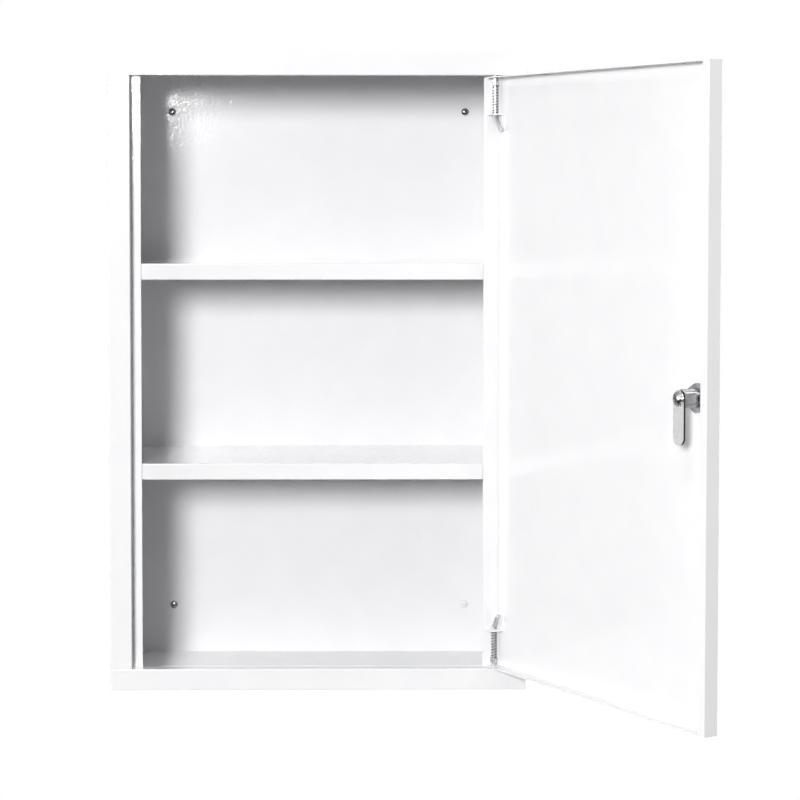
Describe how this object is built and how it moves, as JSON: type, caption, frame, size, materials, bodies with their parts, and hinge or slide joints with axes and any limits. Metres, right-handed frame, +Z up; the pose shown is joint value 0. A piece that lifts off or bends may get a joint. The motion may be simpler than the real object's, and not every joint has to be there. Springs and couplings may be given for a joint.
{
  "type": "wall medicine cabinet",
  "caption": "Folded steel wall cabinet with fixed shelves, an inset door on sprung hinge pins and a cam lock.",
  "frame": {"origin": "centre of the four wall holes, on the back face that lies on the wall", "axes": "+Y points into the wall, the door side faces -Y, +X is the hinge side, +Z is up"},
  "size_m": [0.4034, 0.3667, 0.46],
  "materials": {
    "powder_coat": "white powder coat, glossy with a fine orange peel",
    "zinc_plate": "bright zinc plate",
    "spring_steel": "drawn spring wire, bright",
    "lock_chrome": "polished chrome plate",
    "cam_steel": "nickel plate over stamped steel",
    "wafer_brass": "plain stamped brass"
  },
  "bodies": {
    "cabinet": {"top_pan": "powder_coat", "bottom_pan": "powder_coat", "left_side_panel": "powder_coat", "right_side_panel": "powder_coat", "back_panel": "powder_coat", "upper_shelf": "powder_coat", "lower_shelf": "powder_coat"},
    "door": {"door_panel": "powder_coat", "top_hinge_bracket": "powder_coat", "bottom_hinge_bracket": "powder_coat", "top_hinge_spring": "spring_steel", "bottom_hinge_spring": "spring_steel", "lock_housing": "lock_chrome", "lock_washer": "cam_steel", "lock_nut": "lock_chrome"},
    "top_pin": {"top_hinge_pin": "zinc_plate", "top_pin_collar": "zinc_plate"},
    "bottom_pin": {"bottom_hinge_pin": "zinc_plate", "bottom_pin_collar": "zinc_plate"},
    "lock_core": {"lock_plug": "lock_chrome", "lock_wafers": "wafer_brass", "lock_cam": "cam_steel", "cam_washer": "cam_steel", "cam_screw": "cam_steel"}
  },
  "joints": [
    {"name": "door_swing", "type": "hinge", "parent": "cabinet", "child": "door", "pos_m": [0.1273, -0.135, 0], "axis": [0, 0, 1], "range_deg": [-118, 1]},
    {"name": "lock_turn", "type": "hinge", "parent": "door", "child": "lock_core", "pos_m": [0.24429, -0.34438, -0.001], "axis": [-0.8829, -0.4695, 0], "range_deg": [0, 90]},
    {"name": "top_pin_slide", "type": "slide", "parent": "door", "child": "top_pin", "axis": [0, 0, -1], "range_m": [0, 0.0055], "stiffness_N_per_m": 800, "springref_m": -0.003, "deforming": ["top_hinge_spring"]},
    {"name": "bottom_pin_slide", "type": "slide", "parent": "door", "child": "bottom_pin", "axis": [0, 0, 1], "range_m": [0, 0.0055], "stiffness_N_per_m": 800, "springref_m": -0.003, "deforming": ["bottom_hinge_spring"]}
  ]
}
